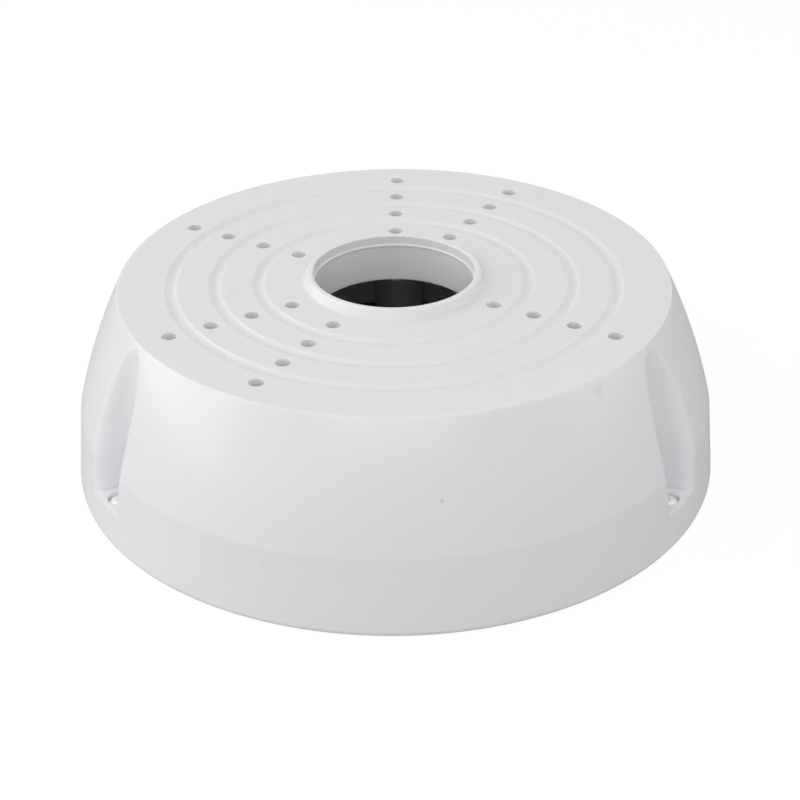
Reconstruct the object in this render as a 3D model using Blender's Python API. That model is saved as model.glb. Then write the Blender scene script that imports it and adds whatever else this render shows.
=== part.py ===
"""Camera junction box: a white housing with three screw pockets on a dark wall plate.

Metres, +Z up. The origin is the middle of the wall face, and the camera plate faces +Z.
"""

import math

import bmesh
import bpy
from mathutils import Matrix, Vector

MM = 0.001

# Outside of the housing
PLATE_RADIUS = 63.25 * MM
PLATE_HEIGHT = 46.5 * MM
PLATE_EDGE_ROUND = 0.5 * MM
CONE_SPREAD = 10.25 * MM
CONE_BULGE = 0.9 * MM
BELT_HEIGHT = 18.6 * MM
BELT_ROUND = 3.0 * MM
FOOT_SPREAD = 1.6 * MM
FOOT_ROUND = 1.6 * MM

# Walls of the housing
SKIRT_WALL = 2.6 * MM
PLATE_THICKNESS = 3.2 * MM

# Collar and tube round the cable hole
COLLAR_BORE = 18.5 * MM
COLLAR_RISE = 2.2 * MM
COLLAR_RIM = 1.35 * MM
COLLAR_SPREAD = 0.6 * MM
COLLAR_RIM_ROUND = 0.5 * MM
COLLAR_FOOT_ROUND = 1.0 * MM
COLLAR_FOOT_SWEEP = 80
TUBE_DROP = 9.2 * MM
TUBE_WALL = 2.5 * MM
TUBE_STEP = 0.15 * MM
LIP_INSET = 0.35 * MM
LIP_HEIGHT = 0.6 * MM

# Pilot holes and ring grooves of the camera plate
HOLE_LINES = (60, 90, 150, 210, 240, 330)
RINGS = 4
FIRST_RING_GAP = 4.55 * MM
LAST_RING_INSET = 7.25 * MM
PILOT_DIAMETER = 3.4 * MM
PILOT_DEPTH = 8.5 * MM
BOSS_WALL = 2.0 * MM
BOSS_FLOOR = 1.5 * MM
RIB_THICKNESS = 2.0 * MM
RIB_DEPTH = 7.0 * MM
GROOVE_WIDTH = 2.8 * MM
GROOVE_DEPTH = 0.6 * MM

# Screw pockets in the side of the housing
POCKET_ANGLES = (90, 210, 330)
SCREW_INSET = 4.9 * MM
POCKET_RADIUS = 4.8 * MM
POCKET_SPREAD = 1.6 * MM
POCKET_ROUND = 2.8 * MM
POCKET_FOOT_ROUND = 2.0 * MM
POCKET_WALL = 2.0 * MM
LEDGE_HEIGHT = 9.5 * MM
SEAT_WEB = 1.9 * MM
SPIGOT = 0.5 * MM

# Cover screws and their washers
HEAD_DIAMETER = 5.8 * MM
HEAD_HEIGHT = 1.8 * MM
HEAD_EDGE = 0.8 * MM
SHANK_DIAMETER = 2.6 * MM
TIP_GAP = 0.7 * MM
SLOT_WIDTH = 0.7 * MM
SLOT_LENGTH = 3.0 * MM
SLOT_DEPTH = 0.8 * MM
WASHER_THICKNESS = 0.5 * MM

# Wall plate
BASE_FLOOR = 2.5 * MM
BASE_RIM_HEIGHT = 4.0 * MM
BASE_RIM_WALL = 2.2 * MM
POST_WALL = 0.75 * MM
INSERT_WALL = 0.45 * MM
INSERT_SINK = 0.2 * MM
INSERT_FLOOR = 0.9 * MM
FIXING_INSET = 6.75 * MM
FIXING_ANGLES = (0, 90, 180, 270)
FIXING_WIDTH = 5.0 * MM
FIXING_LENGTH = 11.0 * MM
CABLE_HOLE = 36.0 * MM
GROMMET_LIP = 2.5 * MM
GROMMET_FLANGE = 1.4 * MM
GROMMET_WALL = 3.0 * MM
GASKET_INSET = 6.6 * MM
GASKET_WIDTH = 9.0 * MM
GASKET_THICKNESS = 0.9 * MM

# Fits
RUNNING_GAP = 0.3 * MM
SEAT_GAP = 0.1 * MM
CUT_PAST = 2.0 * MM

# Facets
RING_SIDES = 72
TUBE_SIDES = 48
SCREW_SIDES = 20
PILOT_SIDES = 10
PLAIN_ARC_STEPS = 18
ROUND_STEPS = 3
EDGE_STEPS = 2
POCKET_STEPS = 8
CONE_STEPS = 5
GROOVE_STEPS = 3
DOME_STEPS = 3
COLUMN_STEPS = 10
SLOT_END_STEPS = 6
SHARP_FROM_DEGREES = 30

# Sizes that follow from the ones above
BELT_RADIUS = PLATE_RADIUS + CONE_SPREAD
FOOT_RADIUS = BELT_RADIUS + FOOT_SPREAD
SCREW_RING = FOOT_RADIUS - SCREW_INSET
SEAT_RADIUS = HEAD_DIAMETER / 2 + RUNNING_GAP
BOSS_BOTTOM = BASE_RIM_HEIGHT + RUNNING_GAP
SPIGOT_TOP = BOSS_BOTTOM + SPIGOT
SEAT_FLOOR = SPIGOT_TOP + SEAT_WEB
WASHER_BOTTOM = SEAT_FLOOR + SEAT_GAP
HEAD_BOTTOM = WASHER_BOTTOM + WASHER_THICKNESS + SEAT_GAP
POST_TOP = SPIGOT_TOP - RUNNING_GAP
INSERT_BORE = SHANK_DIAMETER / 2 + RUNNING_GAP
INSERT_RADIUS = INSERT_BORE + INSERT_WALL
INSERT_HOLE = INSERT_RADIUS + SEAT_GAP
INSERT_BOTTOM = INSERT_FLOOR + SEAT_GAP
INSERT_LENGTH = POST_TOP - INSERT_SINK - INSERT_BOTTOM
SHANK_LENGTH = HEAD_BOTTOM - INSERT_FLOOR - TIP_GAP
POST_RADIUS = INSERT_HOLE + POST_WALL
POST_RELIEF = POST_RADIUS + RUNNING_GAP
RIM_DRAFT = FOOT_SPREAD * BASE_RIM_HEIGHT / BELT_HEIGHT
BASE_RADIUS = FOOT_RADIUS - SKIRT_WALL - RIM_DRAFT - RUNNING_GAP
GASKET_OUTER = BASE_RADIUS - GASKET_INSET
GASKET_INNER = GASKET_OUTER - GASKET_WIDTH
FIXING_RING = GASKET_INNER - FIXING_INSET - FIXING_LENGTH / 2
COLLAR_FOOT = COLLAR_BORE + COLLAR_RIM + COLLAR_SPREAD
FIRST_RING = COLLAR_FOOT + COLLAR_FOOT_ROUND + FIRST_RING_GAP
RING_PITCH = (PLATE_RADIUS - LAST_RING_INSET - FIRST_RING) / (RINGS - 1)
PILOT_BOSS_RADIUS = PILOT_DIAMETER / 2 + BOSS_WALL
PLATE_UNDERSIDE = PLATE_HEIGHT - PLATE_THICKNESS
TUBE_BORE = COLLAR_BORE - TUBE_STEP
TUBE_OUTER = TUBE_BORE + TUBE_WALL
TUBE_BOTTOM = PLATE_HEIGHT - TUBE_DROP


def clear_scene():
    """Removes every object that the file starts with."""
    for obj in list(bpy.data.objects):
        bpy.data.objects.remove(obj, do_unlink=True)


def material(name, colour, roughness, metallic=0.0):
    """A plain surface of one colour."""
    made = bpy.data.materials.new(name)
    made.use_nodes = True
    shader = made.node_tree.nodes["Principled BSDF"]
    shader.inputs["Base Color"].default_value = (*colour, 1.0)
    shader.inputs["Roughness"].default_value = roughness
    shader.inputs["Metallic"].default_value = metallic
    return made


def new_object(name, mesh_builder, finish=None, parent=None):
    """An object from a bmesh, smooth apart from its sharp edges."""
    mesh = bpy.data.meshes.new(name)
    bmesh.ops.recalc_face_normals(mesh_builder, faces=mesh_builder.faces)
    mesh_builder.to_mesh(mesh)
    mesh_builder.free()
    mesh.shade_smooth()
    mesh.set_sharp_from_angle(angle=math.radians(SHARP_FROM_DEGREES))
    obj = bpy.data.objects.new(name, mesh)
    bpy.context.collection.objects.link(obj)
    obj.parent = parent
    if finish:
        mesh.materials.append(finish)
    return obj


def as_cutter(obj):
    """Marks an object as one that only shapes others."""
    obj.hide_render = True
    obj.display_type = "WIRE"
    return obj


def combine(target, tool, operation, meeting=False):
    """Adds a Boolean modifier to the target. Meeting says that the tool's own bodies may run together."""
    modifier = target.modifiers.new(f"{operation.lower()} {tool.name}", "BOOLEAN")
    modifier.operation = operation
    modifier.solver = "EXACT"
    modifier.use_self = meeting
    modifier.object = tool


def polar(radius, degrees, height=0.0):
    """The point at this radius, angle and height."""
    angle = math.radians(degrees)
    return Vector((radius * math.cos(angle), radius * math.sin(angle), height))


def rounded(before, corner, after, radius, steps):
    """Points of the arc that rounds the corner between two straight lines."""
    before, corner, after = Vector(before), Vector(corner), Vector(after)
    back = (before - corner).normalized()
    on = (after - corner).normalized()
    half = back.angle(on) / 2
    centre = corner + (back + on).normalized() * (radius / math.sin(half))
    start = corner + back * (radius / math.tan(half)) - centre
    turn = start.angle_signed(corner + on * (radius / math.tan(half)) - centre)
    points = []
    for step in range(steps + 1):
        angle = -turn * step / steps
        cos, sin = math.cos(angle), math.sin(angle)
        points.append(centre + Vector((start.x * cos - start.y * sin, start.x * sin + start.y * cos)))
    return points


def bridge_rings(builder, rings, closed=False):
    """Joins each ring of points to the next one with faces."""
    pairs = list(zip(rings, rings[1:]))
    if closed:
        pairs.append((rings[-1], rings[0]))
    for lower, upper in pairs:
        count = max(len(lower), len(upper))
        for i in range(count):
            j = (i + 1) % count
            if len(lower) == 1:
                builder.faces.new((lower[0], upper[j], upper[i]))
            elif len(upper) == 1:
                builder.faces.new((lower[i], lower[j], upper[0]))
            else:
                builder.faces.new((lower[i], lower[j], upper[j], upper[i]))


def turned(profile, sides, centre=(0.0, 0.0), closed=False, builder=None):
    """A solid of revolution. The profile holds (radius, height) points, and closed makes a ring of it.

    The first corner stands half a side round, so that rings of unlike side counts share no radial line.
    """
    builder = builder or bmesh.new()
    rings = []
    for radius, height in profile:
        if radius < 1e-9:
            rings.append([builder.verts.new((centre[0], centre[1], height))])
            continue
        ring = []
        for side in range(sides):
            point = polar(radius, 360 * (side + 0.5) / sides, height)
            ring.append(builder.verts.new((point.x + centre[0], point.y + centre[1], point.z)))
        rings.append(ring)
    bridge_rings(builder, rings, closed)
    return builder


def cylinders(centres, radius, bottom, top, sides):
    """One mesh of equal upright cylinders at these places."""
    builder = bmesh.new()
    profile = [(0, bottom), (radius, bottom), (radius, top), (0, top)]
    for centre in centres:
        turned(profile, sides, centre=centre, builder=builder)
    return builder


def prism(outline, bottom, top, builder=None, top_outline=None):
    """An upright solid on an outline of (x, y) points, which tapers if its top has another outline."""
    builder = builder or bmesh.new()
    lower = [builder.verts.new((x, y, bottom)) for x, y in outline]
    upper = [builder.verts.new((x, y, top)) for x, y in top_outline or outline]
    bridge_rings(builder, [lower, upper])
    builder.faces.new(list(reversed(lower)))
    builder.faces.new(upper)
    return builder


def turned_outline(outline, degrees):
    """The outline turned about the origin."""
    turn = Matrix.Rotation(math.radians(degrees), 2)
    return [tuple(turn @ Vector(point)) for point in outline]


def obround(length, width, at):
    """A slot outline along X with round ends, its middle at this distance from the origin."""
    reach = (length - width) / 2
    points = []
    for end, first in ((reach, -90), (-reach, 90)):
        for step in range(SLOT_END_STEPS + 1):
            point = polar(width / 2, first + 180 * step / SLOT_END_STEPS)
            points.append((at + end + point.x, point.y))
    return points


def cone_point(height):
    """(radius, height) on the cone, which bulges a little between belt and plate."""
    share = (height - BELT_HEIGHT) / (PLATE_HEIGHT - BELT_HEIGHT)
    return Vector((BELT_RADIUS - CONE_SPREAD * share + 4 * CONE_BULGE * share * (1 - share), height))


def outer_profile():
    """(radius, height) points up the outside of the housing: foot, belt, cone and plate edge."""
    bottom_middle = (0, 0)
    foot = (FOOT_RADIUS, 0)
    belt = cone_point(BELT_HEIGHT)
    above_belt = cone_point(BELT_HEIGHT + BELT_ROUND)
    below_edge = cone_point(PLATE_HEIGHT - PLATE_EDGE_ROUND)
    edge = cone_point(PLATE_HEIGHT)
    top_middle = (0, PLATE_HEIGHT)
    foot_arc = rounded(bottom_middle, foot, belt, FOOT_ROUND, EDGE_STEPS)
    belt_arc = rounded(foot, belt, above_belt, BELT_ROUND, 1)
    edge_arc = rounded(below_edge, edge, top_middle, PLATE_EDGE_ROUND, EDGE_STEPS)
    cone = []
    for step in range(1, CONE_STEPS):
        share = 1 - (1 - step / CONE_STEPS) ** 2
        height = belt_arc[-1].y + (edge_arc[0].y - belt_arc[-1].y) * share
        cone.append(cone_point(height))
    return foot_arc, belt_arc, cone, edge_arc


def pocket_radius(height):
    """Radius of the pocket, which widens from its ledge up to the plate."""
    return POCKET_RADIUS + POCKET_SPREAD * (height - LEDGE_HEIGHT) / (PLATE_HEIGHT - LEDGE_HEIGHT)


def pocket_round(height):
    """Radius of the pocket's border, full above the belt and smaller at the ledge."""
    share = min(1.0, max(0.0, (height - LEDGE_HEIGHT) / (BELT_HEIGHT - LEDGE_HEIGHT)))
    return POCKET_FOOT_ROUND + (POCKET_ROUND - POCKET_FOOT_ROUND) * share


def pocket_path(radius, height):
    """Half of a pocket at one height, from the outside round its border and into its middle.

    The points are (outwards, sideways) from the body's axis, with the pocket along +X.
    The first is where the border leaves the outer circle.
    """
    border = pocket_round(height)
    hollow = pocket_radius(height)
    if radius <= SCREW_RING - hollow + 1e-6:
        half = border / radius
        count = ROUND_STEPS + 1 + POCKET_STEPS // 2
        points = []
        for step in range(count + 1):
            angle = half * (1 - step / count)
            points.append((radius * math.cos(angle), radius * math.sin(angle)))
        return points
    reach = hollow + border
    outwards = ((radius - border) ** 2 - reach**2 + SCREW_RING**2) / (2 * SCREW_RING)
    if outwards < SCREW_RING:
        sideways = math.sqrt(max(0.0, (radius - border) ** 2 - outwards**2))
    else:
        sideways = reach
        outwards = math.sqrt((radius - border) ** 2 - reach**2)
    first = math.atan2(sideways, outwards)
    last = math.atan2(-sideways, SCREW_RING - outwards) if outwards < SCREW_RING else -math.pi / 2
    points = []
    for step in range(ROUND_STEPS + 1):
        angle = first + (last - first) * step / ROUND_STEPS
        points.append((outwards + border * math.cos(angle), sideways + border * math.sin(angle)))
    half_steps = POCKET_STEPS // 2
    angles = []
    for step in range(half_steps + 1):
        if outwards < SCREW_RING:
            share = (step + 1) / (half_steps + 1)
            angles.append(math.pi + last * (1 - share))
        else:
            angles.append(math.pi / 2 * (1 + step / half_steps))
    for angle in angles:
        points.append((SCREW_RING + hollow * math.cos(angle), hollow * math.sin(angle)))
    return points


def pocketed_outline(radius, height, open_pockets):
    """The housing's outline at one height, as a list of (x, y, in_pocket)."""
    outline = []
    for index, middle in enumerate(POCKET_ANGLES):
        half = pocket_path(radius, height)
        if not open_pockets:
            width = math.atan2(half[0][1], half[0][0])
            count = len(half) - 1
            half = []
            for i in range(count + 1):
                point = polar(radius, math.degrees(width * (1 - i / count)))
                half.append((point.x, point.y))
        path = [(x, -y) for x, y in half] + list(reversed(half[:-1]))
        for place, point in enumerate(turned_outline(path, middle)):
            outline.append((*point, 0 < place < len(path) - 1))
        leave = math.degrees(math.atan2(half[0][1], half[0][0]))
        following = POCKET_ANGLES[(index + 1) % len(POCKET_ANGLES)]
        if following < middle:
            following += 360
        start, end = middle + leave, following - leave
        for step in range(1, PLAIN_ARC_STEPS):
            point = polar(radius, start + (end - start) * step / PLAIN_ARC_STEPS)
            outline.append((point.x, point.y, False))
    return outline


def outer_body():
    """The solid outside of the housing with its three pockets, lofted from outlines."""
    builder = bmesh.new()
    foot_arc, belt_arc, cone, edge_arc = outer_profile()
    share = (LEDGE_HEIGHT - foot_arc[-1].y) / (belt_arc[0].y - foot_arc[-1].y)
    ledge = foot_arc[-1].lerp(belt_arc[0], share)
    rings = []
    for radius, height in foot_arc + [ledge]:
        shape = pocketed_outline(radius, height, open_pockets=False)
        rings.append([builder.verts.new((x, y, height)) for x, y, _ in shape])
    bridge_rings(builder, rings)
    builder.faces.new(list(reversed(rings[0])))

    upper = []
    for vert, (x, y, in_pocket) in zip(rings[-1], pocketed_outline(ledge.x, ledge.y, open_pockets=True)):
        upper.append(builder.verts.new((x, y, LEDGE_HEIGHT)) if in_pocket else vert)
    count = len(upper) // len(POCKET_ANGLES)
    for start in range(0, len(upper), count):
        path = [i for i in range(start, start + count) if upper[i] is not rings[-1][i]]
        span = [path[0] - 1] + path + [path[-1] + 1]
        builder.faces.new([rings[-1][i] for i in span] + [upper[i] for i in reversed(path)])

    rings = [upper]
    for radius, height in belt_arc + cone + edge_arc:
        shape = pocketed_outline(radius, height, open_pockets=True)
        rings.append([builder.verts.new((x, y, height)) for x, y, _ in shape])
    bridge_rings(builder, rings)
    builder.faces.new(rings[-1])
    return builder


def cavity():
    """The hollow of the housing before its bosses, ribs and pocket walls are left standing."""
    profile = [
        (0, -CUT_PAST),
        (FOOT_RADIUS - SKIRT_WALL, -CUT_PAST),
        (FOOT_RADIUS - SKIRT_WALL, 0),
    ]
    for height in (BELT_HEIGHT, (BELT_HEIGHT + PLATE_UNDERSIDE) / 2, PLATE_UNDERSIDE):
        profile.append((cone_point(height).x - SKIRT_WALL, height))
    profile.append((0, PLATE_UNDERSIDE))
    return turned(profile, RING_SIDES)


def column_outline(radius, degrees):
    """The outline of the column round a pocket, as far as past the skirt."""
    outline = [(FOOT_RADIUS + CUT_PAST, -radius), (FOOT_RADIUS + CUT_PAST, radius)]
    for step in range(COLUMN_STEPS + 1):
        point = polar(radius, 90 + 180 * step / COLUMN_STEPS)
        outline.append((SCREW_RING + point.x, point.y))
    return turned_outline(outline, degrees)


def pocket_walls():
    """The columns round the three pockets, from the screw bosses up into the plate."""
    builder = bmesh.new()
    top = PLATE_HEIGHT - PLATE_THICKNESS / 2
    for angle in POCKET_ANGLES:
        lower = column_outline(pocket_radius(BOSS_BOTTOM) + POCKET_WALL, angle)
        upper = column_outline(pocket_radius(top) + POCKET_WALL, angle)
        prism(lower, BOSS_BOTTOM, top, builder, top_outline=upper)
    return builder


def plate_ribs():
    """One rib under each line of pilot holes, from the tube to the skirt."""
    builder = bmesh.new()
    half = RIB_THICKNESS / 2
    inner = TUBE_BORE + TUBE_WALL / 2
    outer = BELT_RADIUS
    outline = [(inner, -half), (outer, -half), (outer, half), (inner, half)]
    for angle in HOLE_LINES:
        top = PLATE_HEIGHT - PLATE_THICKNESS / 2
        prism(turned_outline(outline, angle), PLATE_UNDERSIDE - RIB_DEPTH, top, builder)
    return builder


def hole_places():
    """(x, y) of every pilot hole."""
    places = []
    for angle in HOLE_LINES:
        for ring in range(RINGS):
            point = polar(FIRST_RING + ring * RING_PITCH, angle)
            places.append((point.x, point.y))
    return places


def tube_and_collar():
    """The solid that the cable hole is cut in: the tube below the plate and the collar above it."""
    rim = COLLAR_BORE + COLLAR_RIM
    top = PLATE_HEIGHT + COLLAR_RISE
    rim_arc = rounded((COLLAR_FOOT, PLATE_HEIGHT), (rim, top), (0, top), COLLAR_RIM_ROUND, ROUND_STEPS)
    lean = math.atan2(COLLAR_SPREAD, COLLAR_RISE)
    beside = COLLAR_FOOT_ROUND * math.tan((math.pi / 2 - lean) / 2)
    foot_centre = Vector((COLLAR_FOOT + beside, PLATE_HEIGHT + COLLAR_FOOT_ROUND))
    foot_arc = []
    for step in range(ROUND_STEPS + 2):
        share = step / (ROUND_STEPS + 1)
        angle = math.pi + math.radians(COLLAR_FOOT_SWEEP) * (1 - share) + lean * share
        foot_arc.append(foot_centre + COLLAR_FOOT_ROUND * Vector((math.cos(angle), math.sin(angle))))
    sunk = (foot_arc[0].x, PLATE_HEIGHT - PLATE_THICKNESS / 2)
    profile = [(0, TUBE_BOTTOM), (TUBE_OUTER, TUBE_BOTTOM), (TUBE_OUTER, sunk[1]), sunk]
    profile += [tuple(point) for point in foot_arc + rim_arc] + [(0, top)]
    return turned(profile, TUBE_SIDES)


def cable_bore():
    """The hole through collar and tube, with the small lip level with the plate."""
    lip = COLLAR_BORE - LIP_INSET
    lip_bottom = PLATE_HEIGHT - LIP_HEIGHT
    profile = [
        (0, TUBE_BOTTOM - CUT_PAST),
        (TUBE_BORE, TUBE_BOTTOM - CUT_PAST),
        (TUBE_BORE, lip_bottom),
        (lip, lip_bottom),
        (lip, PLATE_HEIGHT),
        (COLLAR_BORE, PLATE_HEIGHT),
        (COLLAR_BORE, PLATE_HEIGHT + COLLAR_RISE + CUT_PAST),
        (0, PLATE_HEIGHT + COLLAR_RISE + CUT_PAST),
    ]
    return turned(profile, TUBE_SIDES)


def ring_grooves():
    """Cutters of the round grooves midway between the rings of holes."""
    builder = bmesh.new()
    half = GROOVE_WIDTH / 2
    radius = (half**2 + GROOVE_DEPTH**2) / (2 * GROOVE_DEPTH)
    reach = math.asin(half / radius)
    for ring in range(RINGS - 1):
        middle = FIRST_RING + (ring + 0.5) * RING_PITCH
        profile = []
        for step in range(GROOVE_STEPS + 1):
            angle = -reach + 2 * reach * step / GROOVE_STEPS
            sink = radius * math.cos(angle) - (radius - GROOVE_DEPTH)
            profile.append((middle + radius * math.sin(angle), PLATE_HEIGHT - sink))
        profile.append((middle + half, PLATE_HEIGHT + CUT_PAST))
        profile.append((middle - half, PLATE_HEIGHT + CUT_PAST))
        turned(profile, RING_SIDES, closed=True, builder=builder)
    return builder


def screw_places():
    """(x, y) of the three cover screws."""
    return [tuple(polar(SCREW_RING, angle).xy) for angle in POCKET_ANGLES]


def screw_holes():
    """Cutters of the stepped holes: head seat, clearance hole and the relief that the post enters."""
    profile = [
        (0, -CUT_PAST),
        (POST_RELIEF, -CUT_PAST),
        (POST_RELIEF, SPIGOT_TOP),
        (INSERT_BORE, SPIGOT_TOP),
        (INSERT_BORE, SEAT_FLOOR),
        (SEAT_RADIUS, SEAT_FLOOR),
        (SEAT_RADIUS, LEDGE_HEIGHT + CUT_PAST),
        (0, LEDGE_HEIGHT + CUT_PAST),
    ]
    builder = bmesh.new()
    for place in screw_places():
        turned(profile, SCREW_SIDES, centre=place, builder=builder)
    return builder


def make_housing(finish, parent):
    """The white moulding."""
    housing = new_object("housing", outer_body(), finish, parent)
    hollow = as_cutter(new_object("hollow", cavity()))
    for name, shape in (("pocket walls", pocket_walls()), ("plate ribs", plate_ribs())):
        combine(hollow, as_cutter(new_object(name, shape)), "DIFFERENCE")
    boss_bottom = PLATE_HEIGHT - PILOT_DEPTH - BOSS_FLOOR
    boss_top = PLATE_HEIGHT - PLATE_THICKNESS / 2
    bosses = cylinders(hole_places(), PILOT_BOSS_RADIUS, boss_bottom, boss_top, PILOT_SIDES)
    combine(hollow, as_cutter(new_object("pilot bosses", bosses)), "DIFFERENCE", meeting=True)
    combine(housing, hollow, "DIFFERENCE")

    combine(housing, as_cutter(new_object("tube and collar", tube_and_collar())), "UNION")
    bottom, top = PLATE_HEIGHT - PILOT_DEPTH, PLATE_HEIGHT + CUT_PAST
    pilots = cylinders(hole_places(), PILOT_DIAMETER / 2, bottom, top, PILOT_SIDES)
    cuts = (
        ("cable bore", cable_bore()),
        ("ring grooves", ring_grooves()),
        ("pilot holes", pilots),
        ("screw holes", screw_holes()),
    )
    for name, shape in cuts:
        combine(housing, as_cutter(new_object(name, shape)), "DIFFERENCE")
    return housing


def make_base(finish, parent):
    """The wall plate with its rim, posts, fixing slots, cable hole and gasket recess."""
    rim_inner = BASE_RADIUS - BASE_RIM_WALL
    recess_depth = GASKET_THICKNESS + RUNNING_GAP
    recess_inner = GASKET_INNER - RUNNING_GAP
    recess_outer = GASKET_OUTER + RUNNING_GAP
    profile = [
        (CABLE_HOLE / 2, 0),
        (recess_inner, 0),
        (recess_inner, recess_depth),
        (recess_outer, recess_depth),
        (recess_outer, 0),
        (BASE_RADIUS, 0),
        (BASE_RADIUS, BASE_RIM_HEIGHT),
        (rim_inner, BASE_RIM_HEIGHT),
        (rim_inner, BASE_FLOOR),
        (CABLE_HOLE / 2, BASE_FLOOR),
    ]
    base = new_object("base_plate", turned(profile, RING_SIDES, closed=True), finish, parent)
    posts = cylinders(screw_places(), POST_RADIUS, RUNNING_GAP, POST_TOP, SCREW_SIDES)
    combine(base, as_cutter(new_object("posts", posts)), "UNION")
    holes = cylinders(screw_places(), INSERT_HOLE, INSERT_FLOOR, POST_TOP + CUT_PAST, SCREW_SIDES)
    for angle in FIXING_ANGLES:
        outline = obround(FIXING_LENGTH, FIXING_WIDTH, FIXING_RING)
        prism(turned_outline(outline, angle), -CUT_PAST, BASE_FLOOR + CUT_PAST, holes)
    combine(base, as_cutter(new_object("insert holes and fixing slots", holes)), "DIFFERENCE")
    return base


def make_gasket(finish, parent):
    """The foam ring that seals the wall plate to the wall."""
    profile = [
        (GASKET_INNER, 0),
        (GASKET_OUTER, 0),
        (GASKET_OUTER, GASKET_THICKNESS),
        (GASKET_INNER, GASKET_THICKNESS),
    ]
    return new_object("wall_gasket", turned(profile, TUBE_SIDES, closed=True), finish, parent)


def make_grommet(finish, parent):
    """The rubber ring round the edge of the wall plate's cable hole, flat behind."""
    neck = CABLE_HOLE / 2 - SEAT_GAP
    bore = neck - GROMMET_WALL
    under = BASE_FLOOR + SEAT_GAP
    top = under + GROMMET_FLANGE
    flange = CABLE_HOLE / 2 + GROMMET_LIP
    profile = [(bore, 0), (neck, 0), (neck, under), (flange, under), (flange, top), (bore, top)]
    return new_object("cable_grommet", turned(profile, TUBE_SIDES, closed=True), finish, parent)


def screw_shape():
    """A pan-head screw with a cross slot, its head's underside at height zero."""
    head = HEAD_DIAMETER / 2
    shank = SHANK_DIAMETER / 2
    dome = []
    for step in range(DOME_STEPS):
        angle = math.pi / 2 * step / DOME_STEPS
        dome.append((head * math.cos(angle), HEAD_EDGE + (HEAD_HEIGHT - HEAD_EDGE) * math.sin(angle)))
    profile = [(0, -SHANK_LENGTH), (shank, -SHANK_LENGTH), (shank, 0), (head, 0)]
    return turned(profile + dome + [(0, HEAD_HEIGHT)], SCREW_SIDES)


def make_screws(finish, parent):
    """The three cover screws."""
    half_width, half_length = SLOT_WIDTH / 2, SLOT_LENGTH / 2
    screws = []
    for number, angle in enumerate(POCKET_ANGLES, start=1):
        screw = new_object(f"cover_screw_{number}", screw_shape(), finish, parent)
        screw.location = polar(SCREW_RING, angle, HEAD_BOTTOM)
        screw.rotation_euler.z = math.radians(angle)
        for turn in (0, 90):
            bar = [(-half_length, -half_width), (half_length, -half_width),
                   (half_length, half_width), (-half_length, half_width)]
            shape = prism(turned_outline(bar, turn), HEAD_HEIGHT - SLOT_DEPTH, HEAD_HEIGHT + CUT_PAST)
            slot = as_cutter(new_object(f"slot {number} {turn}", shape))
            slot.parent = screw
            combine(screw, slot, "DIFFERENCE")
        screws.append(screw)
    return screws


def make_washers(finish, parent):
    """The sealing washers under the screw heads."""
    bore = SHANK_DIAMETER / 2 + SEAT_GAP
    outer = HEAD_DIAMETER / 2
    profile = [(bore, 0), (outer, 0), (outer, WASHER_THICKNESS), (bore, WASHER_THICKNESS)]
    for number, angle in enumerate(POCKET_ANGLES, start=1):
        ring = turned(profile, SCREW_SIDES, closed=True)
        washer = new_object(f"screw_washer_{number}", ring, finish, parent)
        washer.location = polar(SCREW_RING, angle, WASHER_BOTTOM)


def make_inserts(finish, parent):
    """The threaded inserts in the posts of the wall plate."""
    profile = [
        (INSERT_BORE, 0),
        (INSERT_RADIUS, 0),
        (INSERT_RADIUS, INSERT_LENGTH),
        (INSERT_BORE, INSERT_LENGTH),
    ]
    for number, angle in enumerate(POCKET_ANGLES, start=1):
        ring = turned(profile, SCREW_SIDES, closed=True)
        insert = new_object(f"base_insert_{number}", ring, finish, parent)
        insert.location = polar(SCREW_RING, angle, INSERT_BOTTOM)


def main():
    clear_scene()
    root = bpy.data.objects.new("camera_junction_box", None)
    bpy.context.collection.objects.link(root)
    white = material("white plastic", (0.80, 0.80, 0.81), 0.35)
    dark = material("black plastic", (0.02, 0.02, 0.022), 0.45)
    rubber = material("black rubber", (0.025, 0.025, 0.025), 0.8)
    foam = material("grey foam", (0.09, 0.09, 0.09), 0.95)
    steel = material("stainless steel", (0.62, 0.62, 0.63), 0.3, metallic=1.0)
    brass = material("brass", (0.72, 0.52, 0.22), 0.35, metallic=1.0)
    make_housing(white, root)
    make_base(dark, root)
    make_gasket(foam, root)
    make_grommet(rubber, root)
    make_screws(steel, root)
    make_washers(rubber, root)
    make_inserts(brass, root)


main()
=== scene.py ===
"""Looks of a camera junction box: a round white moulding on a black wall plate, lying on a pale floor.

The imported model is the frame. Each visible piece is modelled again here with finer edges and dressed in
procedural plastic, rubber, foam or metal. Lengths are in metres, +Z is up, and the origin is the middle
of the wall face.
"""

import logging
import math
from collections.abc import Iterator, Sequence
from contextlib import contextmanager
from dataclasses import dataclass, field
from enum import Enum

import bmesh
import bpy
from mathutils import Matrix, Vector


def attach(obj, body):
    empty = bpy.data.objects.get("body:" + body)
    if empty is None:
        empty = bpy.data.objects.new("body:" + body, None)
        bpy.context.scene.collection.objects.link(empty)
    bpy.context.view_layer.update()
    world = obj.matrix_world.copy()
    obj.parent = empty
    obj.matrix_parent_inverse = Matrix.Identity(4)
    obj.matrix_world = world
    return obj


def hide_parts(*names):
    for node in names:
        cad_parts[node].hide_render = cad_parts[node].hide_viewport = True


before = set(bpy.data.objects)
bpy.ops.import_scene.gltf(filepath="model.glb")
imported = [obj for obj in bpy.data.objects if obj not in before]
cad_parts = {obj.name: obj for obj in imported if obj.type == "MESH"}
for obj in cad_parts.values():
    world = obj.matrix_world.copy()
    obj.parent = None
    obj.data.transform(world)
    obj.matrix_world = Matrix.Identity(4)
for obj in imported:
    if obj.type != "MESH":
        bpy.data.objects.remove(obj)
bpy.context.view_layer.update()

MM = 0.001
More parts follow.
